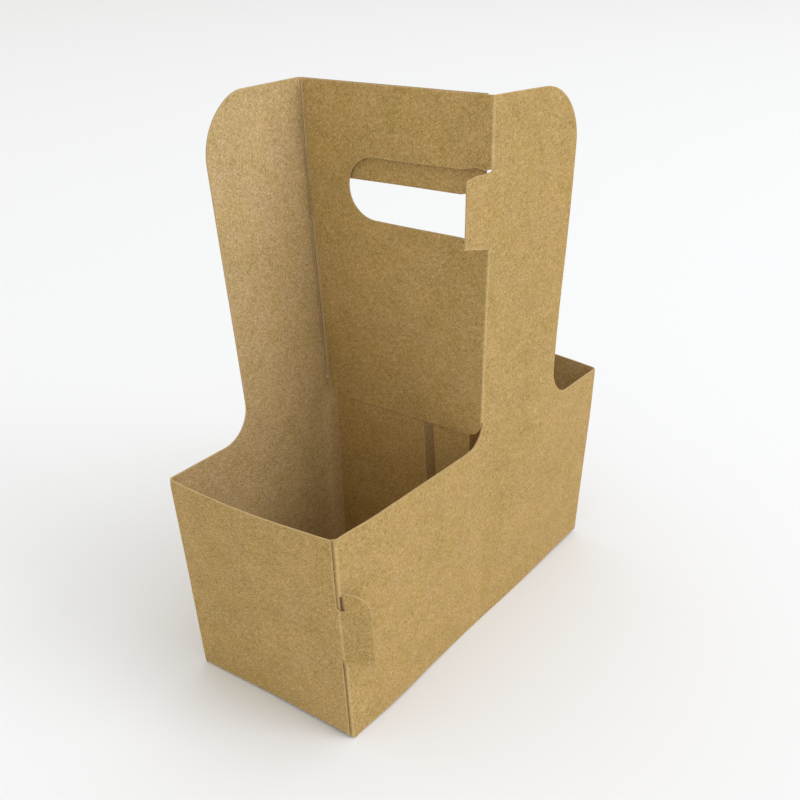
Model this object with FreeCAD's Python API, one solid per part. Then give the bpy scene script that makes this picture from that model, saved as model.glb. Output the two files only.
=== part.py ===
import FreeCAD, Part
import math
import os

# A two-cup carrier folded from one sheet of kraft board. All sizes are in millimetres.
# X runs across the carrier, Y along it and Z up. The origin is the middle of the foot, on the ground.
# Long sides stand at +X and -X. Each carries a tower over the half of it that lies past the handle web.

# Board and its folds
board = 0.6
fold_radius = 1.0

# Tray
width = 84.0
length = 184.0
wall_height = 93.0
end_lean = 3.0
side_bow = 3.0
end_bow = 3.0

# Towers, measured along Y from the carrier's middle and up from the ground
tower_height = 229.0
tower_foot_reach = 54.0
tower_top_reach = 59.0
tower_top_radius = 24.0
tower_foot_radius = 14.0
crease_offset = 2.5
crease_foot_radius = 11.0

# Handle web: two layers, one folded from each tower
web_free_gap = 3.0
web_foot_lift = 0.5
web_slot = 2.2
web_corner_radius = 6.0

# Handle hole, through both layers. The rear layer's hole stops lower, at the crease of its flap
hole_top_gap = 27.0
hole_height = 26.0
hole_end_flat = 0.2
hole_left = 22.4
hole_right = 33.0
back_hole_drop = 9.0
back_hole_left = 27.0
flap_clearance = 0.3
flap_side_gap = 1.5
flap_radius = 5.0

# Tab that stays in the plane of the near tower where the front hole is cut
tab_reach = 15.0
tab_cut = 0.5
tab_radius = 1.5

# Hook at each corner joint, cut from the end panel's edge and bent back
hook_length = 14.0
hook_foot = 40.0
hook_neck = 25.0
hook_rise = 9.5
hook_notch = 2.6
hook_notch_radius = 0.8
hook_slope = 0.5
hook_radius = 7.0
hook_tip_radius = 1.5
hook_bend = 30.0

# Glue lap inside each corner joint
lap_width = 18.0
lap_inset = 5.0

# Lower divider between the two places for cups
divider_gap = 6.0
divider_lap = 9.0
slot_left = 12.2
slot_width = 5.2
slot_slant = 3.0
slot_foot = 30.0
slot_head = 4.0

# Bottom: two glued flaps from the long sides, and a dust flap from each end
bottom_lap = 10.0
bottom_inset = 1.0
dust_flap_depth = 26.0
dust_flap_inset = 2.0
dust_flap_taper = 8.0

half_width = width / 2
half_length = length / 2
joint_bite = board / 2
layer_offset = 1.5 * board
web_angle = math.atan2(2 * crease_offset, width)
web_half = half_width / math.cos(web_angle)
crease_y = crease_offset - layer_offset
crease_foot = wall_height + crease_foot_radius
dust_level = 2 * board
cutter_margin = 20.0

hole_top = tower_height - hole_top_gap
hole_foot = hole_top - hole_height
hole_radius = (hole_height - hole_end_flat) / 2
back_hole_top = hole_top - back_hole_drop
hook_neck_top = hook_foot + hook_neck
hook_top = hook_neck_top + hook_rise

X_AXIS = FreeCAD.Vector(1, 0, 0)
Y_AXIS = FreeCAD.Vector(0, 1, 0)
Z_AXIS = FreeCAD.Vector(0, 0, 1)
ORIGIN = FreeCAD.Vector(0, 0, 0)


def outline(corners):
    """A closed wire in the XY plane through (u, v, radius) corners, each rounded by its radius."""
    points = [FreeCAD.Vector(u, v, 0) for u, v, _ in corners]
    edges = []
    starts = []
    ends = []
    for i, (_, _, radius) in enumerate(corners):
        here = points[i]
        back = (points[i - 1] - here).normalize()
        ahead = (points[(i + 1) % len(points)] - here).normalize()
        if radius == 0:
            starts.append(here)
            ends.append(here)
            continue
        half_turn = back.getAngle(ahead) / 2
        reach = radius / math.tan(half_turn)
        centre = here + (back + ahead).normalize() * (radius / math.sin(half_turn))
        middle = centre + (here - centre).normalize() * radius
        starts.append(here + back * reach)
        ends.append(here + ahead * reach)
        edges.append((i, Part.Arc(starts[-1], middle, ends[-1]).toShape()))
    arcs = dict(edges)
    path = []
    for i in range(len(points)):
        if i in arcs:
            path.append(arcs[i])
        following = starts[(i + 1) % len(points)]
        if ends[i].distanceToPoint(following) > 1e-6:
            path.append(Part.LineSegment(ends[i], following).toShape())
    return Part.Wire(path)


def upright(corners, along, offset, thickness):
    """A standing plate from (distance along, height, radius) corners, its offset square to the plate."""
    across = Z_AXIS.cross(along)
    turn = FreeCAD.Rotation(along, Z_AXIS, along.cross(Z_AXIS), "ZXY")
    place = FreeCAD.Placement(across * offset, turn)
    face = Part.Face(outline(corners))
    face.Placement = place
    return face.extrude(across * thickness)


def box(low, high):
    """A block between two corners."""
    size = [h - l for l, h in zip(low, high)]
    return Part.makeBox(*size, FreeCAD.Vector(*low))


def band(start, end, outward, bow, thickness):
    """The section of a wall at one height, bowed outwards in its middle."""
    inward = outward * -thickness
    points = [start, end, end + inward, start + inward]
    rise = outward * bow
    if bow:
        outer = Part.Arc(start, (start + end) * 0.5 + rise, end).toShape()
        inner = Part.Arc(points[2], (points[2] + points[3]) * 0.5 + rise, points[3]).toShape()
    else:
        outer = Part.LineSegment(start, end).toShape()
        inner = Part.LineSegment(points[2], points[3]).toShape()
    end_cap = Part.LineSegment(points[1], points[2]).toShape()
    start_cap = Part.LineSegment(points[3], points[0]).toShape()
    return Part.Wire([outer, end_cap, inner, start_cap])


def fold_section(centre, first, second):
    """The section of a quarter turn of board about a centre, between two directions square to each other."""
    rims = []
    for radius in (fold_radius, fold_radius - board):
        start = centre + first * radius
        end = centre + second * radius
        middle = centre + (first + second) * (radius * math.sqrt(0.5))
        rims.append((start, end, Part.Arc(start, middle, end).toShape()))
    outer, inner = rims
    caps = [Part.LineSegment(outer[k], inner[k]).toShape() for k in (0, 1)]
    return Part.Wire([outer[2], caps[1], inner[2], caps[0]])


def lean_at(height):
    """How far an end panel stands out from its foot at a height."""
    return end_lean * height / wall_height


def side_outline(foot):
    """The near long side with its tower, as (y, z, radius) corners."""
    front = -half_length + joint_bite
    rear = half_length - fold_radius
    return [
        (front - lean_at(foot), foot, 0),
        (rear + lean_at(foot), foot, 0),
        (rear + end_lean, wall_height, 0),
        (tower_foot_reach, wall_height, tower_foot_radius),
        (tower_top_reach, tower_height, tower_top_radius),
        (crease_y, tower_height, 0),
        (crease_y, wall_height, crease_foot_radius),
        (front - end_lean, wall_height, 0),
    ]


def long_side(level):
    """The near long side: flat past the crease, bowed before it, with its tower and its bottom fold."""
    foot = level + fold_radius
    cutter = upright(side_outline(foot), Y_AXIS, -half_width - cutter_margin, 2 * cutter_margin)
    flat = box((half_width - board, crease_y, foot), (half_width, half_length + end_lean, tower_height))
    far_end = -half_length - end_lean - fold_radius
    sections = []
    for height, bow in ((foot, 0), (crease_foot, side_bow * crease_foot / wall_height)):
        start = FreeCAD.Vector(half_width, far_end, height)
        end = FreeCAD.Vector(half_width, crease_y, height)
        sections.append(band(start, end, X_AXIS, bow, board))
    bowed = Part.makeLoft(sections, True, True)
    return [flat.common(cutter), bowed.common(cutter)]


def bottom_flap(level):
    """The flap that folds in from the foot of the near long side and reaches past the middle."""
    ends = half_length - bottom_inset
    flap = box((-bottom_lap, -ends, level), (half_width - fold_radius, ends, level + board))
    centre = FreeCAD.Vector(half_width - fold_radius, -ends, level + fold_radius)
    fold = Part.Face(fold_section(centre, X_AXIS, -Z_AXIS)).extrude(Y_AXIS * (2 * ends))
    return [flap, fold]


def end_panel():
    """The front end panel, leaning out and bowed, from the fold at -X to its cut edge at +X."""
    foot = dust_level + fold_radius
    sections = []
    doubled = []
    for height, bow in ((foot, 0), (wall_height, end_bow)):
        y = -half_length - lean_at(height)
        start = FreeCAD.Vector(-half_width + fold_radius, y, height)
        end = FreeCAD.Vector(half_width, y, height)
        sections.append(band(start, end, -Y_AXIS, bow, board))
        doubled.append(band(start, end, -Y_AXIS, bow, 2 * board))
    panel = Part.makeLoft(sections, True, True)
    lap_outline = [
        (half_width - joint_bite, foot, 0),
        (half_width - joint_bite, wall_height, 0),
        (half_width - lap_width, wall_height - lap_inset, 0),
        (half_width - lap_width, foot + lap_inset, 0),
    ]
    lap_cutter = upright(lap_outline, X_AXIS, -half_length - cutter_margin, 2 * cutter_margin)
    lap = Part.makeLoft(doubled, True, True).common(lap_cutter)
    return [panel, lap]


def corner_fold():
    """The upright fold between the front end panel and the far long side."""
    foot = dust_level + fold_radius
    sections = []
    for height in (foot, wall_height):
        y = -half_length + fold_radius - lean_at(height)
        centre = FreeCAD.Vector(-half_width + fold_radius, y, height)
        sections.append(fold_section(centre, -X_AXIS, -Y_AXIS))
    return [Part.makeLoft(sections, True, True)]


def dust_flap():
    """The short flap that folds in from the foot of the front end panel, and its fold."""
    edge = half_width - board - dust_flap_inset
    start = -half_length + fold_radius
    points = [(-edge, start), (edge, start), (edge - dust_flap_taper, start + dust_flap_depth),
              (-edge + dust_flap_taper, start + dust_flap_depth)]
    face = Part.Face(Part.makePolygon([FreeCAD.Vector(x, y, dust_level) for x, y in points + points[:1]]))
    centre = FreeCAD.Vector(-edge, start, dust_level + fold_radius)
    fold = Part.Face(fold_section(centre, -Y_AXIS, -Z_AXIS)).extrude(X_AXIS * (2 * edge))
    return [face.extrude(Z_AXIS * board), fold]


def hook():
    """The hook that the front end panel's edge carries past the corner, bent back towards the side."""
    corners = [
        (-joint_bite, hook_foot, 0),
        (hook_length, hook_foot - hook_slope, hook_tip_radius),
        (hook_length, hook_top, hook_radius),
        (hook_notch, hook_top - hook_slope, 0),
        (hook_notch, hook_neck_top, hook_notch_radius),
        (-joint_bite, hook_neck_top, 0),
    ]
    turn = math.radians(hook_bend)
    along = FreeCAD.Vector(math.cos(turn), math.sin(turn), 0)
    middle_height = (hook_foot + hook_neck_top) / 2
    corner = FreeCAD.Vector(half_width, -half_length - lean_at(middle_height), 0)
    plate = upright(corners, along, 0, board)
    plate.translate(corner)
    return [plate]


def web_plate(corners, offset, thickness=board):
    """A plate in the plane of the handle web, whose u runs from the far side to the near side."""
    along = FreeCAD.Vector(math.cos(web_angle), math.sin(web_angle), 0)
    return upright(corners, along, offset, thickness)


def front_web():
    """The web layer folded from the near tower, with the hole cut to the crease."""
    free_edge = -web_half + board + web_free_gap
    foot = wall_height + web_foot_lift
    crease = web_half - joint_bite
    layer = web_plate([
        (free_edge, foot, web_corner_radius),
        (web_half - web_slot, foot, web_corner_radius),
        (web_half - web_slot, crease_foot, 0),
        (crease, crease_foot, 0),
        (crease, tower_height, 0),
        (free_edge, tower_height, 0),
    ], -layer_offset)
    hole = web_plate([
        (-hole_left, hole_foot, hole_radius),
        (web_half, hole_foot, 0),
        (web_half, hole_top, 0),
        (-hole_left, hole_top, hole_radius),
    ], -layer_offset - board, 3 * board)
    return [layer.cut(hole)]


def back_web():
    """The web layer folded from the far tower. Its hole's flap is folded up behind it."""
    free_edge = web_half - board - web_free_gap
    foot = wall_height + web_foot_lift
    crease = -web_half + joint_bite
    layer = web_plate([
        (crease, crease_foot, 0),
        (-web_half + web_slot, crease_foot, 0),
        (-web_half + web_slot, foot, web_corner_radius),
        (free_edge, foot, web_corner_radius),
        (free_edge, tower_height, 0),
        (crease, tower_height, 0),
    ], board / 2)
    hole = web_plate([
        (-back_hole_left, hole_foot, hole_radius),
        (hole_right, hole_foot, flap_radius),
        (hole_right, back_hole_top, 0),
        (-back_hole_left, back_hole_top, 0),
    ], -board, 3 * board)
    left = -back_hole_left + flap_side_gap
    right = hole_right - flap_side_gap
    flap_top = 2 * back_hole_top - hole_foot
    flap_offset = layer_offset + flap_clearance
    flap = web_plate([
        (left, back_hole_top, 0),
        (right, back_hole_top, 0),
        (right, flap_top, flap_radius),
        (left, flap_top, flap_radius),
    ], flap_offset)
    turn = web_plate([
        (left, back_hole_top, 0),
        (right, back_hole_top, 0),
        (right, back_hole_top + board, 0),
        (left, back_hole_top + board, 0),
    ], board / 2, flap_offset + board / 2)
    return [layer.cut(hole), flap, turn]


def near_tab():
    """The tab at the handle hole, in the plane of the near tower."""
    corners = [
        (crease_y + tab_reach / 2, hole_foot + tab_cut, 0),
        (crease_y + tab_reach / 2, hole_top - tab_cut, 0),
        (crease_y - tab_reach, hole_top - 2 * tab_cut, tab_radius),
        (crease_y - tab_reach, hole_foot + 2 * tab_cut, tab_radius / 2),
    ]
    return [upright(corners, Y_AXIS, -half_width, board)]


def divider():
    """The lower divider, which stands on the bottom and is glued between the feet of the web layers."""
    edge = web_half - board
    top = wall_height + divider_lap
    plate = web_plate([
        (-edge + divider_gap, dust_level, 0),
        (edge - divider_gap, dust_level, 0),
        (edge - divider_gap, top, 0),
        (-edge + divider_gap, top, 0),
    ], -board / 2)
    slot_top = wall_height + slot_head
    slot = web_plate([
        (slot_left + slot_slant, slot_foot, 0),
        (slot_left + slot_slant + slot_width, slot_foot, 0),
        (slot_left + slot_width, slot_top, 0),
        (slot_left, slot_top, 0),
    ], -board, 2 * board)
    return [plate.cut(slot)]


def opposite(shapes):
    """The same shapes turned half a turn about the upright axis."""
    turned = []
    for shape in shapes:
        copy = shape.copy()
        copy.rotate(ORIGIN, Z_AXIS, 180)
        turned.append(copy)
    return turned


def carrier():
    """The whole folded sheet as one solid."""
    end = end_panel() + corner_fold() + dust_flap() + hook()
    near = long_side(0) + bottom_flap(0)
    far = long_side(board) + bottom_flap(board)
    pieces = near + opposite(far) + end + opposite(end)
    pieces += front_web() + back_web() + near_tab() + divider()
    return pieces[0].fuse(pieces[1:]).removeSplitter()


os.makedirs("parts", exist_ok=True)
shape = carrier()
shape.exportStep("parts/carrier.step")
box_size = shape.BoundBox
print("solids", len(shape.Solids), "valid", shape.isValid(), "volume", round(shape.Volume), "mm3")
print("size", round(box_size.XLength, 1), round(box_size.YLength, 1), round(box_size.ZLength, 1))
print("from", round(box_size.XMin, 1), round(box_size.YMin, 1), round(box_size.ZMin, 1))
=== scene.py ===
import math

import bpy
import numpy as np
from mathutils import Matrix, Vector, noise
from mathutils.geometry import delaunay_2d_cdt


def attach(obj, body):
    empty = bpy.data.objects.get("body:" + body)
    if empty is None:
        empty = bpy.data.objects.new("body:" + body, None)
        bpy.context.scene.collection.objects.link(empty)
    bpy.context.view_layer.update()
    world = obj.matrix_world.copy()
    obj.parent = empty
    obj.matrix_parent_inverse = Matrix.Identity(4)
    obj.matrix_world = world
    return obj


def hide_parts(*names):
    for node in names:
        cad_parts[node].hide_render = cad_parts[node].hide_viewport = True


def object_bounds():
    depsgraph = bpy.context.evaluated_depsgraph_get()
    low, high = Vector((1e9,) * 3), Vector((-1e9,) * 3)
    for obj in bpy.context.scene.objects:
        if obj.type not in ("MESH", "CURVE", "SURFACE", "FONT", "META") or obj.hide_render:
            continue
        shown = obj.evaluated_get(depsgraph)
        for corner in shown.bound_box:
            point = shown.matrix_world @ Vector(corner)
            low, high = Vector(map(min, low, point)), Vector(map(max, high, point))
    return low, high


# A two-cup carrier folded from one sheet of kraft board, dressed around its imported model.
# Lengths are millimetres until a mesh is made. X runs across the carrier, Y along it and Z up.
# Each half of the sheet is cut flat, at (s, t): s runs round the carrier and t is the height.
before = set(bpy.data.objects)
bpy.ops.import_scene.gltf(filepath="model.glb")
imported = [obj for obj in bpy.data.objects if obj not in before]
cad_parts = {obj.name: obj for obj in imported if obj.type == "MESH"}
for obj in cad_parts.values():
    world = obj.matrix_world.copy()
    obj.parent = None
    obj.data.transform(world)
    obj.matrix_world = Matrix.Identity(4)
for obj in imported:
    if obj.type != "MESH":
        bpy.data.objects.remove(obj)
cad_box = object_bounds()

METRES = 0.001
HALF_TURN = Matrix.Rotation(math.pi, 4, "Z")

# Board and folds
board = 0.6
fold_radius = 1.0
crease_radius = 0.8
foot_radius = 0.65
glue_gap = 0.03

# Tray. Its top edges rise a little towards the two glued corners
half_width = 42.0
half_length = 92.0
wall_height = 93.0
joint_rise = 2.5
corner_foot = 0.1
tower_height = cad_box[1].z / METRES + 0.3
end_bow = 2.7
side_bow = 1.2
joint_lean = 3.0
near_fold_lean = 1.0
far_fold_lean = 4.5
end_slope_height = 60.0

# Long sides. The near one leans out past its crease, and both bow between two places.
# What moves with the crease fades out along the side and towards its foot
near_flare = 3.3
near_flare_high = 2.0
flare_reach = 57.0
flare_power = 1.1
bow_rise = -70.0
bow_fall = -14.0
crease_hold = 18.0
crease_fade = 50.0
crease_shift_foot = 20.0

# Towers
tower_foot_reach = 51.0
near_top_reach = 57.2
far_top_reach = 59.6
near_top_fall = 1.9
tower_top_radius = 23.0
tower_foot_radius = 14.0
crease_foot_radius = 9.0
crease_foot = wall_height + crease_foot_radius

# Handle web. Its plane turns a little from its foot to its top
web_centre = -1.1
web_turn_foot = 0.7
web_turn_top = 5.4
web_foot_lift = 2.2
web_slot = 2.2
web_free_gap = 2.4
web_corner_radius = 6.0
web_turn_middle = 3.0
web_visible = 78.0
web_margin = 3.0
web_depth = 12.0
layer_offset = 1.5 * board
layer_opening = 1.0
opening_height = 190.0
opening_spread = 24.0
free_edge_lift = 0.6
free_edge_start = 68.0
free_edge_end = 80.0
free_edge_full = 130.0

# How the used sheet has settled: slow waves, a tilt, a rear and a front foot corner and the near foot line
wave_seed = 651
wave_size = 75.0
wave_reach = 0.5
wave_start = 2.0
wave_full = 50.0
ripple_size = 30.0
ripple_reach = 0.12
side_tilt = 0.0035
corner_tuck = 1.2
corner_lift = 1.3
front_tuck = 1.4
front_push = 0.9
foot_height = 70.0
corner_start = 10.0
foot_swell = 1.2
swell_place = (-64.0, 24.0)
foot_draw = 0.7
draw_place = (2.0, 30.0)
foot_lift = 0.9
lift_place = (-52.0, 30.0)

# Handle hole
hole_top = 202.6
hole_top_at_crease = 203.6
hole_foot = 178.2
hole_foot_at_crease = 174.0
hole_radius = 12.1
hole_left = 21.0
hole_right = 33.0
back_hole_foot = 175.2
back_hole_top = 193.4
back_hole_left = 29.5
flap_left = 27.0
flap_radius = 5.0
flap_side_gap = 1.5
flap_fold_radius = 0.25
flap_turn = math.radians(170)

# Tab in the plane of the near tower
tab_reach = 15.0
tab_top = 202.8
tab_foot = 177.4
tab_lean = 0.095
tab_cut = 0.15
tab_radius = 0.6

# Hook past the corner joint
hook_length = 12.9
hook_foot = 39.4
hook_neck_top = 64.4
hook_top = 73.1
hook_notch = 3.5
hook_notch_radius = 1.8
hook_slope = 0.8
hook_radius = 8.0
hook_tip_radius = 0.8
hook_bend = math.radians(30)
hook_bend_length = 3.0
hook_margin = 2.0

# Slit beside the corner's fold, at the hook's notch
slit_start = 0.6
slit_width = 1.5
slit_foot = 62.0
slit_head = 70.5
slit_radius = 0.4

# Glue lap, divider and bottom
lap_width = 18.0
lap_inset = 5.0
divider_half = 35.5
divider_top = wall_height + 9.0
slot_left = 12.2
slot_width = 5.2
slot_slant = 3.0
slot_foot = 30.0
slot_head = 97.0
end_foot_drop = 1.0
end_foot_rise = 0.6
bottom_lap = 10.0
bottom_inset = 2.0
dust_level = 2 * board
dust_flap_depth = 26.0
dust_flap_inset = 2.5
dust_flap_taper = 8.0

# Places along the flat sheet
crease_line = 2.3
quarter_fold = fold_radius * math.pi / 2
quarter_foot = foot_radius * math.pi / 2
front_tangent = -half_length + board + glue_gap + fold_radius
rear_tangent = half_length - fold_radius
lap_start = front_tangent - quarter_fold
lap_edge = lap_start - (lap_width - fold_radius)
end_start = rear_tangent + quarter_fold
joint_gap = 1.55
joint_lift = 0.3
end_cut = end_start + 2 * half_width - fold_radius - joint_gap
hook_bend_start = end_cut - 0.4
joint_lift_start = end_cut - 16.0
flap_slit = 0.6
flap_settle = 6.0
flap_foot_gap = 1.0
flap_start = crease_line - half_width - hole_right + flap_side_gap
flap_stop = crease_line - half_width + flap_left - flap_side_gap
lean_start = 60.0
side_flap_start = front_tangent + bottom_inset
side_flap_end = rear_tangent - bottom_inset
dust_start = end_start + dust_flap_inset
dust_stop = end_cut - dust_flap_inset

# Spacing of the mesh, and what counts as the same place
grid = 3.0
rim_step = 2.0
arc_step = 0.7
fold_margin = 1.2
rim_margin = 0.12
touch = 0.01
no_fold = 50.0
blank_step = 400.0

# Faces of the board, in the order of their finishes
outside_face, cut_face, inside_face = range(3)

# The same waves in the board on every run
noise.seed_set(wave_seed)


def smooth(x, low, high):
    """A smooth rise from 0 at low to 1 at high."""
    x = min(1.0, max(0.0, (x - low) / (high - low)))
    return x * x * (3 - 2 * x)


def smooth_line(x, low, high):
    """A straight rise from 0 at low to 1 at high."""
    return min(1.0, max(0.0, (x - low) / (high - low)))


def bump(x, middle, spread):
    """A smooth bump of height 1 at its middle."""
    return math.exp(-((x - middle) / spread) ** 2)


def share_of_height(t):
    """A height as a share of the tray's wall, at most 1."""
    return smooth_line(t, 0, wall_height)


def rounded(corners):
    """The points of a closed outline of (s, t, radius) corners, each rounded by its radius."""
    points = []
    for i, (s, t, radius) in enumerate(corners):
        here = Vector((s, t))
        if radius == 0:
            points.append(here)
            continue
        back = (Vector(corners[i - 1][:2]) - here).normalized()
        ahead = (Vector(corners[(i + 1) % len(corners)][:2]) - here).normalized()
        half_angle = back.angle(ahead) / 2
        centre = here + (back + ahead).normalized() * (radius / math.sin(half_angle))
        first = here + back * (radius / math.tan(half_angle)) - centre
        sweep = math.pi - 2 * half_angle
        if back.cross(ahead) > 0:
            sweep = -sweep
        count = max(2, math.ceil(abs(sweep) * radius / arc_step))
        for k in range(count + 1):
            points.append(centre + Matrix.Rotation(sweep * k / count, 2) @ first)
    return points


def stepped(points):
    """The same closed outline with no stretch longer than the rim step."""
    path = []
    for i, here in enumerate(points):
        ahead = points[(i + 1) % len(points)]
        count = max(1, math.ceil((ahead - here).length / rim_step - 1e-6))
        path.extend(here.lerp(ahead, k / count) for k in range(count))
    return path


def inside(points, outline):
    """Which of the points lie inside a closed outline."""
    result = np.zeros(len(points), bool)
    x, y = points[:, 0], points[:, 1]
    for (x0, y0), (x1, y1) in zip(outline, np.roll(outline, -1, axis=0)):
        crosses = (y0 > y) != (y1 > y)
        if y0 != y1:
            result ^= crosses & (x < (x1 - x0) * (y - y0) / (y1 - y0) + x0)
    return result


def distance_to(points, starts, ends):
    """How far each point is from the nearest of the segments."""
    nearest = np.full(len(points), 1e9)
    along = ends - starts
    length2 = np.maximum((along ** 2).sum(1), 1e-12)
    for start, step, size in zip(starts, along, length2):
        share = np.clip(((points - start) @ step) / size, 0, 1)
        gap = points - start - share[:, None] * step
        nearest = np.minimum(nearest, (gap ** 2).sum(1))
    return np.sqrt(nearest)


def unbroken(points, pairs, loops):
    """The pairs of neighbours on fold lines whose stretch stays inside the blank."""
    pairs = np.array(pairs, int).reshape(-1, 2)
    starts = points[pairs[:, 0]]
    along = points[pairs[:, 1]] - starts
    good = np.ones(len(pairs), bool)
    for share in np.linspace(0.02, 0.98, 21):
        between = starts + along * share
        good &= inside(between, loops[0])
        for hole in loops[1:]:
            good &= ~inside(between, hole)
    return pairs[good]


def cut_blank(outline, holes=(), columns=(), rows=()):
    """Triangles of a flat blank, with a grid inside it that has extra columns and rows at its folds."""
    loops = [stepped(rounded(outline))] + [stepped(rounded(h)) for h in holes]
    arrays = [np.array([tuple(p) for p in loop]) for loop in loops]
    low = arrays[0].min(0)
    high = arrays[0].max(0)
    lines = []
    for axis, extra in ((0, columns), (1, rows)):
        plain = np.arange(math.floor(low[axis] / grid), math.ceil(high[axis] / grid) + 1) * grid
        if len(extra):
            keep = np.abs(plain[:, None] - np.array(extra)[None, :]).min(1) > 0.45 * grid
            plain = plain[keep]
        lines.append(np.concatenate([plain, np.array(extra, float)]))
    candidates = np.array([(s, t) for s in lines[0] for t in lines[1]])
    keep = inside(candidates, arrays[0])
    for hole in arrays[1:]:
        keep &= ~inside(candidates, hole)
    candidates = candidates[keep]
    starts = np.concatenate(arrays)
    ends = np.concatenate([np.roll(a, -1, axis=0) for a in arrays])
    candidates = candidates[distance_to(candidates, starts, ends) > rim_margin]
    points = [tuple(p) for p in starts] + [tuple(p) for p in candidates]
    edges = []
    first = 0
    for a in arrays:
        edges += [(first + k, first + (k + 1) % len(a)) for k in range(len(a))]
        first += len(a)
    pairs = []
    for axis, extra in ((0, columns), (1, rows)):
        for value in extra:
            on_line = np.flatnonzero(np.abs(candidates[:, axis] - value) < 1e-6)
            on_line = on_line[np.argsort(candidates[on_line, 1 - axis])]
            pairs += list(zip(on_line[:-1], on_line[1:]))
    edges += [(first + a, first + b) for a, b in unbroken(candidates, pairs, arrays)]
    made = delaunay_2d_cdt([Vector(p) for p in points], edges, [], 0, 1e-5)
    flat = np.array([tuple(p) for p in made[0]])
    faces = np.array([f for f in made[2] if len(f) == 3])
    middle = flat[faces].mean(1)
    one = flat[faces[:, 1]] - flat[faces[:, 0]]
    two = flat[faces[:, 2]] - flat[faces[:, 0]]
    size = np.abs(one[:, 0] * two[:, 1] - one[:, 1] * two[:, 0])
    keep = inside(middle, arrays[0]) & (size > 1e-5)
    for hole in arrays[1:]:
        keep &= ~inside(middle, hole)
    return flat, faces[keep]


def fold_columns(start, length, count=5):
    """Columns over a fold of that length, with a few just beside it."""
    inner = [start + length * k / count for k in range(count + 1)]
    return [start - fold_margin] + inner + [start + length + fold_margin]


def end_bow_at(x, t):
    """How far an end panel is bowed outwards at a place across it."""
    return end_bow * share_of_height(t) * (1 - min(1.0, abs(x) / half_width) ** 2)


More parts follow.
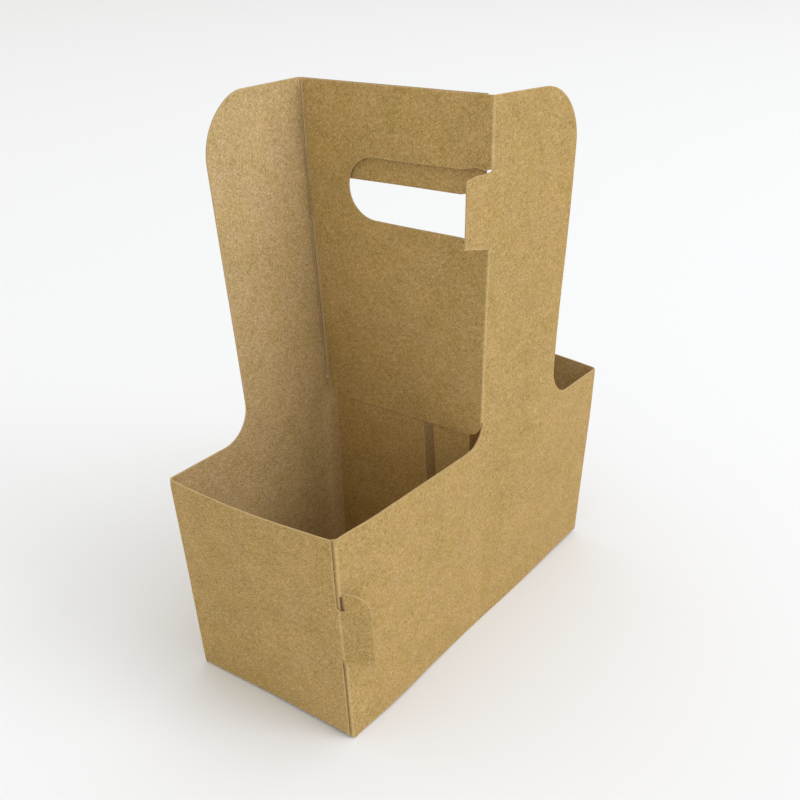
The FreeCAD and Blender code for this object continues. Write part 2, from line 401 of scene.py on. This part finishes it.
class Half:
    """One half of the carrier: a glue lap, a long side with its tower and web layer, and an end panel."""

    def __init__(self, near):
        self.near = near
        self.fold_lean = near_fold_lean if near else far_fold_lean
        self.top_reach = near_top_reach if near else far_top_reach
        self.top_fall = near_top_fall if near else 0.0
        self.level = 0.0 if near else board + glue_gap
        self.foot = self.level + foot_radius
        self.end_foot = dust_level + 2 * glue_gap + foot_radius
        self.end_low = self.end_foot - 0.4 * foot_radius
        self.centre = web_centre if near else -web_centre

    def turn_at(self, t):
        """The web's angle and its crease's y at a height."""
        rise = smooth_line(t, crease_foot, tower_height)
        reach = web_turn_foot + (web_turn_top - web_turn_foot) * rise
        angle = math.atan2(reach, half_width)
        return angle, self.centre + reach - layer_offset / math.cos(angle)

    def crease_at(self, t):
        """Where the tower's plane ends and the crease begins."""
        angle, corner = self.turn_at(max(t, crease_foot))
        return corner + crease_radius * math.tan((math.pi / 2 - angle) / 2)

    def long_side(self, s, t):
        """A point of the long side or its tower."""
        away = 1 - smooth(abs(s - crease_line), crease_hold, crease_fade)
        shift = (self.crease_at(t) - crease_line) * away * smooth(t, crease_shift_foot, crease_foot)
        y = s + shift
        if s > 0:
            y += self.fold_lean * share_of_height(t) * smooth(s, lean_start, rear_tangent)
        else:
            y -= joint_lean * share_of_height(t) * smooth(-s, lean_start, -front_tangent)
        swell = 0.0
        if s < crease_line:
            along = smooth(s, front_tangent, bow_rise) * (1 - smooth(s, bow_fall, crease_line))
            swell = side_bow * share_of_height(t) * along
        elif self.near:
            swell = self.flare(s, t)
        if s < crease_line and t > crease_foot:
            swell = (s - crease_line) * tab_lean
        return Vector((half_width + swell, y, t))

    def flare(self, s, t):
        """How far the near side leans out past its crease."""
        high = smooth_line(t, wall_height, tower_height)
        across = smooth_line(s, crease_line, flare_reach) ** flare_power
        return (near_flare * share_of_height(t) + near_flare_high * high) * across

    def wall(self, s, t):
        """A point of the lap, long side or end panel above the foot's fold."""
        if s < front_tangent:
            turn = min(math.pi / 2, (front_tangent - s) / fold_radius)
            centre_x = half_width - fold_radius
            x = centre_x + fold_radius * math.cos(turn)
            y = front_tangent - joint_lean * share_of_height(t) - fold_radius * math.sin(turn)
            if s < lap_start:
                x = centre_x - (lap_start - s)
            return Vector((x, y - end_bow_at(x, t), t))
        if s > rear_tangent:
            turn = min(math.pi / 2, (s - rear_tangent) / fold_radius)
            centre_x = half_width - fold_radius
            x = centre_x + fold_radius * math.cos(turn)
            across = smooth_line(s, end_start, end_cut)
            lean = self.fold_lean + (joint_lean - self.fold_lean) * across
            y = rear_tangent + lean * share_of_height(t) + fold_radius * math.sin(turn)
            y += joint_lift * smooth(s, joint_lift_start, end_cut)
            spread = self.flare(rear_tangent, t) * (1 - across) if self.near else 0.0
            if s > end_start:
                x = centre_x - (s - end_start)
            low = 1 - smooth_line(t, 0, end_slope_height)
            slope = across * (end_foot_drop + end_foot_rise) - end_foot_drop
            t += low * smooth(s, rear_tangent, end_start) * slope
            if s > hook_bend_start and hook_foot - hook_margin < t < hook_top + hook_margin:
                start_x = centre_x - (hook_bend_start - end_start)
                radius = hook_bend_length / hook_bend
                turn = min(hook_bend, (s - hook_bend_start) / radius)
                past = max(0.0, s - hook_bend_start - hook_bend_length)
                x = start_x - radius * math.sin(turn) - past * math.cos(hook_bend)
                y -= radius * (1 - math.cos(turn)) + past * math.sin(hook_bend)
                return Vector((x, y, t))
            return Vector((x + spread, y + end_bow_at(x, t), t))
        return self.long_side(s, t)

    def place(self, s, t):
        """Where a point of the wall blank goes, with its bottom flaps."""
        at_end = s > rear_tangent
        foot = self.end_foot if at_end else self.foot
        on_side_flap = side_flap_start - touch < s < side_flap_end + touch
        on_dust_flap = dust_start - touch < s < dust_stop + touch
        if t >= foot or not (on_side_flap or on_dust_flap):
            return self.wall(s, t)
        base = self.wall(s, foot)
        inward = Vector((0, -1, 0)) if at_end else Vector((-1, 0, 0))
        turn = min(math.pi / 2, (foot - t) / foot_radius)
        past = max(0.0, foot - t - quarter_foot)
        level = foot + (base.z - foot) * (1 - smooth(past, 0, flap_settle))
        base += inward * (foot_radius * (1 - math.cos(turn)) + past)
        base.z = level - foot_radius * math.sin(turn)
        return base

    def web(self, s, t):
        """Where a point of the web layer goes, past the crease."""
        angle, corner = self.turn_at(max(t, crease_foot))
        turned = math.pi / 2 - angle
        start_y = corner + crease_radius * math.tan(turned / 2)
        along = crease_line - s
        turn = min(turned, along / crease_radius)
        past = max(0.0, along - crease_radius * turned)
        x = half_width - crease_radius + crease_radius * math.cos(turn) - past * math.cos(angle)
        y = start_y - crease_radius * math.sin(turn) - past * math.sin(angle)
        swell = self.opening(past, t)
        return Vector((x + swell * math.sin(angle), y - swell * math.cos(angle), t))

    def opening(self, past, t):
        """How far the layer stands off the web's middle, round the handle hole and at its free edge."""
        across = math.sin(math.pi * smooth_line(past, 0, web_visible)) ** 2
        share = 1.0 if self.near else 0.5
        at_edge = smooth(past, free_edge_start, free_edge_end) * smooth(t, crease_foot, free_edge_full)
        at_hole = share * across * bump(t, opening_height, opening_spread)
        return layer_opening * at_hole + free_edge_lift * at_edge

    def flap(self, s, t):
        """Where a point of the hole's flap goes: down from its fold, round it and up behind the web."""
        root = self.web(s, back_hole_top)
        angle = self.turn_at(back_hole_top)[0]
        outward = Vector((math.sin(angle), -math.cos(angle), 0))
        down = back_hole_top - t
        turn = min(flap_turn, down / flap_fold_radius)
        past = max(0.0, down - flap_turn * flap_fold_radius)
        off = flap_fold_radius * (1 - math.cos(turn)) + past * math.sin(flap_turn)
        drop = flap_fold_radius * math.sin(turn) + past * math.cos(flap_turn)
        return root + outward * off - Vector((0, 0, drop))


def wall_blank(half):
    """The flat outline of the lap, long side, tower and end panel, with the bottom flaps."""
    foot = half.foot
    end_foot = half.end_foot
    flap_end = foot - quarter_foot - (half_width - foot_radius + bottom_lap)
    dust_end = end_foot - quarter_foot - dust_flap_depth
    corners = [
        (lap_edge, foot + lap_inset, 1),
        (lap_start, corner_foot + 0.5, 0),
        (front_tangent, corner_foot, 0),
        (side_flap_start - flap_slit, corner_foot, 0),
        (side_flap_start - flap_slit, foot, 0),
        (side_flap_start, foot, 0),
        (side_flap_start, foot - quarter_foot, 0),
        (side_flap_start + 1, flap_end, 3),
        (side_flap_end - 1, flap_end, 3),
        (side_flap_end, foot - quarter_foot, 0),
        (side_flap_end, foot, 0),
        (side_flap_end + flap_slit, foot, 0),
        (side_flap_end + flap_slit, corner_foot, 0),
        (rear_tangent, corner_foot, 0),
        (end_start, half.end_low - 0.2, 0),
        (dust_start - flap_slit, half.end_low, 0),
        (dust_start - flap_slit, end_foot, 0),
        (dust_start, end_foot, 0),
        (dust_start, end_foot - quarter_foot, 0),
        (dust_start + dust_flap_taper, dust_end, 3),
        (dust_stop - dust_flap_taper, dust_end, 3),
        (dust_stop, end_foot - quarter_foot, 0),
        (dust_stop, end_foot, 0),
        (dust_stop + flap_slit, end_foot, 0),
        (dust_stop + flap_slit, half.end_low, 0),
        (end_cut, half.end_low, 0),
        (end_cut, hook_foot, 0),
        (end_cut + hook_length, hook_foot - hook_slope, hook_tip_radius),
        (end_cut + hook_length, hook_top, hook_radius),
        (end_cut + hook_notch, hook_top - hook_slope, 0.3),
        (end_cut + hook_notch, hook_neck_top, 0.5),
        (end_cut, hook_neck_top, hook_notch_radius),
        (end_cut, wall_height + joint_rise, 0),
        (rear_tangent, wall_height, 0),
        (tower_foot_reach, wall_height, tower_foot_radius),
        (half.top_reach, tower_height - half.top_fall, tower_top_radius),
        (crease_line, tower_height, 0),
        (crease_line, hole_top_at_crease, 0),
    ]
    if half.near:
        # The tab, with a slightly wavy top, a gap above it and a small step at its foot
        corners += [
            (crease_line, hole_top_at_crease - 0.15, 0),
            (crease_line - 1.4, tab_top + 0.1, 0.3),
            (crease_line - 4.6, tab_top - 0.05, 0),
            (crease_line - 9.0, tab_top + 0.2, 3),
            (crease_line - tab_reach, tab_top - 0.55, tab_radius),
            (crease_line - tab_reach, tab_foot + 0.5, 0),
            (crease_line - tab_reach - 1.0, tab_foot, 0.15),
            (crease_line - tab_reach + 1.0, tab_foot - 0.2, 0),
            (crease_line, hole_foot_at_crease + tab_cut, 0),
        ]
    corners += [
        (crease_line, hole_foot_at_crease, 0),
        (crease_line, crease_foot, 0),
        (crease_line, wall_height, crease_foot_radius),
        (front_tangent, wall_height + joint_rise, 0),
        (lap_start, wall_height + joint_rise, 0),
        (lap_edge, wall_height - lap_inset, 1),
    ]
    return corners


def corner_slit():
    """The flat outline of the slit beside the corner's fold."""
    left = -half_length + slit_start
    right = left + slit_width
    return [
        (left, slit_foot, slit_radius),
        (right, slit_foot, slit_radius),
        (right, slit_head, slit_radius),
        (left, slit_head, slit_radius),
    ]


def web_blank(near):
    """The flat outline of a web layer and its holes. The near layer's hole runs into its crease."""
    slant = math.atan2(web_turn_middle, half_width)
    free = crease_line - (2 * half_width / math.cos(slant) - board - web_free_gap)
    foot = wall_height + web_foot_lift
    middle = crease_line - half_width
    layer = [
        (free, foot, web_corner_radius),
        (crease_line - web_slot, foot, web_corner_radius),
        (crease_line - web_slot / 3, crease_foot, 0),
        (crease_line, crease_foot, 0),
        (crease_line, hole_foot_at_crease, 0),
    ]
    holes = []
    if near:
        # The hole's top edge waves a little beside the tab
        layer += [
            (crease_line - 12.5, hole_foot - 1.3, 2),
            (middle - hole_left, hole_foot, hole_radius),
            (middle - hole_left, hole_top, hole_radius),
            (crease_line - 12.4, hole_top - 0.2, 3),
            (crease_line - 7.0, hole_top + 1.0, 2),
            (crease_line - 3.6, hole_top + 0.3, 0.8),
            (crease_line - 1.7, hole_top + 0.9, 0.3),
            (crease_line, hole_top_at_crease, 0),
        ]
    else:
        layer += [(crease_line, hole_top_at_crease, 0)]
        holes.append([
            (middle - hole_right, back_hole_foot, flap_radius),
            (middle + back_hole_left, back_hole_foot, hole_radius),
            (middle + back_hole_left, back_hole_top, 0),
            (flap_stop, back_hole_top, 0),
            (flap_start, back_hole_top, 0),
            (middle - hole_right, back_hole_top, 0),
        ])
    layer += [(crease_line, tower_height, 0), (free, tower_height, 0)]
    return layer, holes


def flap_blank():
    """The flat outline of the far hole's flap."""
    return [
        (flap_start, back_hole_top, 0),
        (flap_start, back_hole_foot + flap_foot_gap, flap_radius),
        (flap_stop, back_hole_foot + flap_foot_gap, flap_radius),
        (flap_stop, back_hole_top, 0),
    ]


def built_half(near):
    """One half's flat blanks joined up, with where each point goes and how near it is to folds and cuts."""
    half = Half(near)
    columns = fold_columns(lap_start, quarter_fold) + fold_columns(rear_tangent, quarter_fold)
    columns += fold_columns(hook_bend_start, hook_bend_length)
    columns += [crease_line + fold_margin]
    rows = fold_columns(half.foot - quarter_foot, quarter_foot)
    rows += [half.end_foot - quarter_foot * k / 5 for k in range(6)]
    wall = cut_blank(wall_blank(half), [corner_slit()], columns=columns, rows=sorted(set(rows)))
    blanks = [(wall, half.place)]
    if not near:
        flap_rows = [back_hole_top - flap_fold_radius * flap_turn * k / 4 for k in range(1, 5)]
        blanks.append((cut_blank(flap_blank(), rows=flap_rows), half.flap))
    layer, holes = web_blank(near)
    arc = crease_radius * math.pi / 2
    columns = fold_columns(crease_line - arc, arc)[:-2]
    blanks.append((cut_blank(layer, holes, columns=columns), half.web))
    return joined(blanks, near, fold_lines(half))


def fold_lines(half):
    """The flat places of the folds, as pairs of ends."""
    crease = crease_line - crease_radius * math.pi / 4
    side_foot = half.foot - quarter_foot / 2
    end_foot = half.end_foot - quarter_foot / 2
    lap_fold = front_tangent - quarter_fold / 2
    rear_fold = rear_tangent + quarter_fold / 2
    bend = hook_bend_start + hook_bend_length / 2
    return [
        ((lap_fold, corner_foot), (lap_fold, wall_height)),
        ((rear_fold, corner_foot), (rear_fold, wall_height)),
        ((crease, crease_foot), (crease, hole_foot_at_crease)),
        ((crease, hole_top_at_crease), (crease, tower_height)),
        ((side_flap_start, side_foot), (side_flap_end, side_foot)),
        ((dust_start, end_foot), (dust_stop, end_foot)),
        ((bend, hook_foot), (bend, hook_neck_top)),
    ]


def joined(blanks, near, folds=()):
    """One mesh's points, places, faces and distances from blanks that share their edges in the flat."""
    index = {}
    flat = []
    placed = []
    faces = []
    for number, ((points, triangles), place) in enumerate(blanks):
        ids = []
        for s, t in points:
            on_fold = abs(s - crease_line) < touch or abs(t - back_hole_top) < touch
            key = (round(s * 200), round(t * 200), -1 if on_fold else number)
            if key not in index:
                index[key] = len(flat)
                flat.append((s, t))
                placed.append(place(s, t))
            ids.append(index[key])
        faces += [tuple(ids[k] for k in triangle) for triangle in triangles]
    if not near:
        placed = [HALF_TURN @ p for p in placed]
    placed = [settled(p) for p in placed]
    flat = np.array(flat)
    sides = np.concatenate([np.array(faces)[:, pair] for pair in ([0, 1], [1, 2], [2, 0])])
    pairs, counts = np.unique(np.sort(sides, axis=1), axis=0, return_counts=True)
    rims = pairs[counts == 1]
    cuts = distance_to(flat, flat[rims[:, 0]], flat[rims[:, 1]])
    if folds:
        lines = np.array(folds)
        bends = distance_to(flat, lines[:, 0], lines[:, 1])
    else:
        bends = np.full(len(flat), no_fold)
    return flat, placed, faces, cuts, bends


def settled(point):
    """A point after the sheet has settled."""
    free = smooth(point.z, wave_start, wave_full)
    wave = noise.noise_vector(point / wave_size) * wave_reach
    wave += noise.noise_vector(point / ripple_size) * ripple_reach
    low = 1 - smooth_line(point.z, 0, foot_height)
    near_foot = smooth(point.x, 0, half_width) * low
    far_foot = smooth(-point.x, 0, half_width) * low
    corner = smooth(point.y, corner_start, half_length) * near_foot
    front = smooth(-point.y, corner_start, half_length) * far_foot
    swell = foot_swell * bump(point.y, *swell_place) - foot_draw * bump(point.y, *draw_place)
    lift = foot_lift * bump(point.y, *lift_place)
    x = point.x + wave.x * free - corner_tuck * corner + front_tuck * front + swell * near_foot
    y = point.y + wave.y * free - front_push * front
    z = point.z * (1 - side_tilt * point.x / half_width) + corner_lift * corner + lift * near_foot
    return Vector((x, y, z))


def divider_sheet():
    """The lower divider, between the feet of the web's two layers."""
    outline = [
        (-divider_half, dust_level + 3 * board, 0),
        (divider_half, dust_level + 3 * board, 0),
        (divider_half, divider_top, 1),
        (-divider_half, divider_top, 1),
    ]
    slot = [
        (slot_left + slot_slant, slot_foot, 0),
        (slot_left + slot_slant + slot_width, slot_foot, 0),
        (slot_left + slot_width, slot_head, 0.5),
        (slot_left, slot_head, 0.5),
    ]
    half = Half(True)

    def place(s, t):
        angle = half.turn_at(crease_foot)[0]
        off = board / 2 - glue_gap
        x = s * math.cos(angle) + off * math.sin(angle)
        y = web_centre + s * math.sin(angle) - off * math.cos(angle)
        return Vector((x, y, t))

    return joined([(cut_blank(outline, [slot]), place)], True)


def build_board():
    """The whole folded sheet as one object with its thickness."""
    parts = [built_half(True), built_half(False), divider_sheet()]
    points = []
    faces = []
    flats = []
    cuts = []
    bends = []
    for k, (flat, placed, part_faces, part_cuts, part_bends) in enumerate(parts):
        first = len(points)
        points += placed
        faces += [tuple(first + i for i in f) for f in part_faces]
        flats.append(flat + (blank_step * k, 0))
        cuts.append(part_cuts)
        bends.append(part_bends)
    flat = np.concatenate(flats)
    mesh = bpy.data.meshes.new("folded_board")
    mesh.from_pydata([p * METRES for p in points], [], faces)
    layer = mesh.uv_layers.new(name="flat_blank")
    corner = np.zeros(len(mesh.loops), np.int32)
    mesh.loops.foreach_get("vertex_index", corner)
    layer.data.foreach_set("uv", (flat[corner] * METRES).astype(np.float32).ravel())
    for name, values in (("cut_distance", cuts), ("fold_distance", bends)):
        attribute = mesh.attributes.new(name, "FLOAT", "POINT")
        attribute.data.foreach_set("value", np.concatenate(values).astype(np.float32))
    piece = bpy.data.objects.new("folded_board", mesh)
    bpy.context.scene.collection.objects.link(piece)
    solid = piece.modifiers.new("board", "SOLIDIFY")
    solid.thickness = board * METRES
    solid.offset = -1
    solid.use_rim = True
    solid.material_offset = inside_face
    solid.material_offset_rim = cut_face
    return piece


class Wire:
    """One socket's value in a finish. Sums on it add Math nodes."""

    def __init__(self, finish, socket):
        self.finish = finish
        self.socket = socket

    def math(self, operation, *values, clamp=False):
        settings = {"operation": operation, "use_clamp": clamp}
        return self.finish.node("Math", settings, dict(enumerate(values)))

    def __add__(self, other):
        return self.math("ADD", self, other)

    __radd__ = __add__

    def __mul__(self, other):
        return self.math("MULTIPLY", self, other)

    __rmul__ = __mul__

    def __sub__(self, other):
        return self.math("SUBTRACT", self, other)

    def __rsub__(self, other):
        return self.math("SUBTRACT", other, self)

    def above(self, low, high):
        """0 below low, rising to 1 at high."""
        return self.math("MULTIPLY", self - low, 1 / (high - low), clamp=True)

    def most(self, other):
        """The larger of the two."""
        return self.math("MAXIMUM", self, other)


class Finish:
    """A material made of nodes."""

    def __init__(self, name):
        self.material = bpy.data.materials.new(name)
        self.material.use_nodes = True
        self.tree = self.material.node_tree
        self.shader = self.tree.nodes["Principled BSDF"]

    def node(self, kind, settings=None, values=None, output=0):
        """A node's output, from its type, its settings and its sockets' values or wires."""
        made = self.tree.nodes.new("ShaderNode" + kind)
        for name, value in (settings or {}).items():
            setattr(made, name, value)
        for key, value in (values or {}).items():
            self.feed(made.inputs[key], value)
        return Wire(self, made.outputs[output])

    def feed(self, socket, value):
        """Links a wire to a socket or sets the socket's value."""
        if isinstance(value, Wire):
            self.tree.links.new(value.socket, socket)
        else:
            socket.default_value = value

    def set(self, **values):
        """Feeds the shader's own sockets, named with underscores for spaces."""
        for name, value in values.items():
            self.feed(self.shader.inputs[name.replace("_", " ")], value)

    def mix(self, share, first, second):
        """A colour between two colours."""
        settings = {"data_type": "RGBA"}
        return self.node("Mix", settings, {0: share, 6: first, 7: second}, output=2)

    def shade(self, colour, tone):
        """A colour made lighter or darker by a wire, least in its red and most in its blue, as kraft is."""
        values = {0: tone.most(-0.5), 1: (0.88, 1.06, 1.65), 2: (1, 1, 1)}
        share = self.node("VectorMath", {"operation": "MULTIPLY_ADD"}, values)
        return self.node("VectorMath", {"operation": "MULTIPLY"}, {0: colour, 1: share})

    def noise(self, place, size, detail=2.0, roughness=0.55):
        """A noise on a flat place, of that size in millimetres."""
        values = {"Vector": place, "Scale": 1 / size, "Detail": detail, "Roughness": roughness}
        return self.node("TexNoise", {"noise_dimensions": "2D"}, values)

    def fibres(self, place, degrees, length, width):
        """A noise drawn out along one direction, as long and wide as the fibres."""
        rotation = (0, 0, math.radians(degrees))
        values = {"Vector": place, "Rotation": rotation, "Scale": (length, width, 1)}
        turned = self.node("Mapping", {"vector_type": "TEXTURE"}, values)
        return self.noise(turned, 1.0, detail=1.5)


# Colours of the board
outside_hues = ((0.409, 0.2705, 0.089, 1), (0.4165, 0.268, 0.0895, 1))
inside_hues = ((0.478, 0.3385, 0.148, 1), (0.486, 0.336, 0.149, 1))
yellower = (1, 1, 0.945, 1)
paler = (1, 1, 1.055, 1)
pale_fibre = (0.74, 0.6, 0.36, 1)
dark_fibre = (0.22, 0.125, 0.04, 1)
speck_brown = (0.13, 0.075, 0.03, 1)
worn_cut = (0.68, 0.5, 0.26, 1)
worn_fold = (0.7, 0.52, 0.27, 1)
fold_shadow = (0.2, 0.12, 0.05, 1)
cut_dark = (0.38, 0.26, 0.105, 1)
cut_pale = (0.54, 0.39, 0.19, 1)
cut_brown = (0.42, 0.28, 0.115, 1)


def flat_place(finish):
    """Where a point lies on the flat blank, in millimetres."""
    uv = finish.node("UVMap", {"uv_map": "flat_blank"})
    return finish.node("VectorMath", {"operation": "SCALE"}, {0: uv, "Scale": 1 / METRES})


def kraft_face(name, green, warm, valley=0.0):
    """One face of the board: fibres in two hues, worn at cuts and folds, with painted shade along its
    valley folds.
    """
    finish = Finish(name)
    place = flat_place(finish)
    cut = finish.node("Attribute", {"attribute_name": "cut_distance"}, output=2)
    bend = finish.node("Attribute", {"attribute_name": "fold_distance"}, output=2)
    cloud = finish.noise(place, 45, detail=3)
    patch = finish.noise(place, 9, detail=3)
    grain = finish.noise(place, 0.55, detail=3, roughness=0.7)
    streaks = finish.fibres(place, 33, 3.2, 0.5)
    for degrees in (-18, 71, 118):
        streaks = streaks + finish.fibres(place, degrees, 2.4, 0.45)
    streaks = streaks * 0.25
    fine = finish.fibres(place, 52, 1.2, 0.16)
    pale = finish.fibres(place, 40, 3.4, 0.3).above(0.66, 0.74)
    pale = pale.most(finish.fibres(place, -35, 3.0, 0.3).above(0.68, 0.76))
    dark = finish.fibres(place, 14, 1.6, 0.35).above(0.68, 0.78)
    cells = {"Vector": place, "Scale": 1 / 11, "Randomness": 1.0}
    speck = 1 - finish.node("TexVoronoi", {"voronoi_dimensions": "2D"}, cells).above(0.016, 0.03)
    speck = speck * patch.above(0.53, 0.58)
    tone = (grain - 0.5) * 0.8 + (streaks - 0.5) * 2.15 + (fine - 0.5) * 1.1
    tone = tone + (patch - 0.5) * 0.28 + (cloud - 0.5) * 0.2
    hue = (patch + cloud).above(0.85, 1.15)
    colour = finish.mix(hue, green, warm)
    bleach = finish.noise(place, 14).above(0.35, 0.65)
    tint = finish.mix(bleach, yellower, paler)
    colour = finish.node("VectorMath", {"operation": "MULTIPLY"}, {0: colour, 1: tint})
    colour = finish.shade(colour, tone)
    colour = finish.mix(pale * 0.3, colour, pale_fibre)
    colour = finish.mix(dark * 0.35, colour, dark_fibre)
    colour = finish.mix(speck * 0.75, colour, speck_brown)
    worn = (1 - cut.above(0.1, 0.45)) * grain.above(0.2, 0.6)
    scuffed = (1 - bend.above(0.3 + valley, 0.8 + valley)) * grain.above(0.2, 0.6)
    # Painted shade: a dark line along each valley fold, standing in for the shadow inside the crease
    valley_shade = (1 - bend.above(0.3, 0.7)) * valley
    colour = finish.mix(worn * 0.35, colour, worn_cut)
    colour = finish.mix(scuffed * (0.5 + 0.4 * valley), colour, worn_fold)
    colour = finish.mix(valley_shade * 0.8, colour, fold_shadow)
    rough = 0.74 + grain * 0.12 + scuffed * 0.06
    height = streaks * 0.6 + grain * 0.3 + pale * 0.15 + fine * 0.2
    relief = finish.node("Bump", None, {"Strength": 0.45, "Distance": 0.00016, "Height": height})
    finish.set(Base_Color=colour, Roughness=rough, Normal=relief, Specular_IOR_Level=0.3)
    return finish.material


def kraft_cut_edge():
    """The board's cut edge, with pale and brown grain."""
    finish = Finish("kraft_cut_edge")
    place = flat_place(finish)
    grain = finish.noise(place, 0.3, detail=3, roughness=0.7)
    cloud = finish.noise(place, 4)
    colour = finish.mix(grain.above(0.3, 0.7), cut_dark, cut_pale)
    colour = finish.mix(cloud.above(0.45, 0.7) * 0.4, colour, cut_brown)
    relief = finish.node("Bump", None, {"Strength": 0.5, "Distance": 0.0001, "Height": grain})
    finish.set(Base_Color=colour, Roughness=0.9, Normal=relief)
    return finish.material


def pale_floor():
    """The plain studio floor."""
    finish = Finish("pale_floor")
    finish.set(Base_Color=(0.825, 0.832, 0.828, 1), Roughness=0.7)
    return finish.material


def in_painted_web_shade(centre):
    """Whether a face's centre lies on the handle web, clear of its creases, where the shade between its two
    layers is painted.
    """
    across = abs(centre.x) < half_width - web_margin
    return centre.z > crease_foot and across and abs(centre.y) < web_depth


piece = build_board()
piece.data.materials.append(kraft_face("kraft_outside", *outside_hues))
piece.data.materials.append(kraft_cut_edge())
piece.data.materials.append(kraft_face("kraft_inside", *inside_hues, valley=0.8))
evaluated = piece.evaluated_get(bpy.context.evaluated_depsgraph_get())
solid_mesh = bpy.data.meshes.new_from_object(evaluated)
piece.modifiers.clear()
piece.data = solid_mesh
solid_mesh.name = "folded_board"
for face in solid_mesh.polygons:
    face.use_smooth = True
    # Painted shade: the web's inner faces, in shade between its two layers, take the darker outside finish
    if face.material_index == inside_face and in_painted_web_shade(face.center / METRES):
        face.material_index = outside_face
solid_mesh.set_sharp_from_angle(angle=math.radians(35))
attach(piece, "root")
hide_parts("carrier")

# Floor
floor_mesh = bpy.data.meshes.new("floor")
floor_mesh.from_pydata([(-8, -8, 0), (8, -8, 0), (8, 8, 0), (-8, 8, 0)], [], [(0, 1, 2, 3)])
floor = bpy.data.objects.new("floor", floor_mesh)
bpy.context.scene.collection.objects.link(floor)
floor_mesh.materials.append(pale_floor())

# Light
world = bpy.data.worlds.new("studio")
bpy.context.scene.world = world
world.use_nodes = True
world.node_tree.nodes["Background"].inputs["Color"].default_value = (1, 0.99, 0.97, 1)
world.node_tree.nodes["Background"].inputs["Strength"].default_value = 0.92


def area_light(name, position, target, size, power):
    """A round, slightly cool area light that faces its target."""
    data = bpy.data.lights.new(name, "AREA")
    data.shape = "DISK"
    data.size = size
    data.energy = power
    data.color = (0.95, 0.99, 1.12)
    light = bpy.data.objects.new(name, data)
    bpy.context.scene.collection.objects.link(light)
    light.location = position
    light.rotation_euler = (Vector(target) - Vector(position)).to_track_quat("-Z", "Y").to_euler()


area_light("key", (4.3, 1.2, 3.0), (0, 0, 0.1), 3.2, 89)
area_light("overhead", (1.8, 1.0, 5.2), (0, 0, 0.1), 3.2, 34)

# Camera, from the fit to the photograph
camera_data = bpy.data.cameras.new("camera")
camera_data.sensor_width = 36
camera_data.lens = 45.255
camera_data.shift_y = 0.075
camera_data.clip_start = 0.01
camera = bpy.data.objects.new("camera", camera_data)
bpy.context.scene.collection.objects.link(camera)
azimuth = math.radians(37.843)
elevation = math.radians(29.009)
roll = math.radians(-1.555)
ahead = math.cos(elevation)
forward = Vector((-math.sin(azimuth) * ahead, math.cos(azimuth) * ahead, -math.sin(elevation)))
level_right = forward.cross(Vector((0, 0, 1))).normalized()
level_up = level_right.cross(forward)
right = level_right * math.cos(roll) + level_up * math.sin(roll)
up = right.cross(forward)
turned = Matrix((right, up, -forward)).transposed().to_4x4()
camera.matrix_world = Matrix.Translation((0.239198, -0.310390, 0.288230)) @ turned
bpy.context.scene.camera = camera
bpy.context.scene.view_settings.view_transform = "Standard"
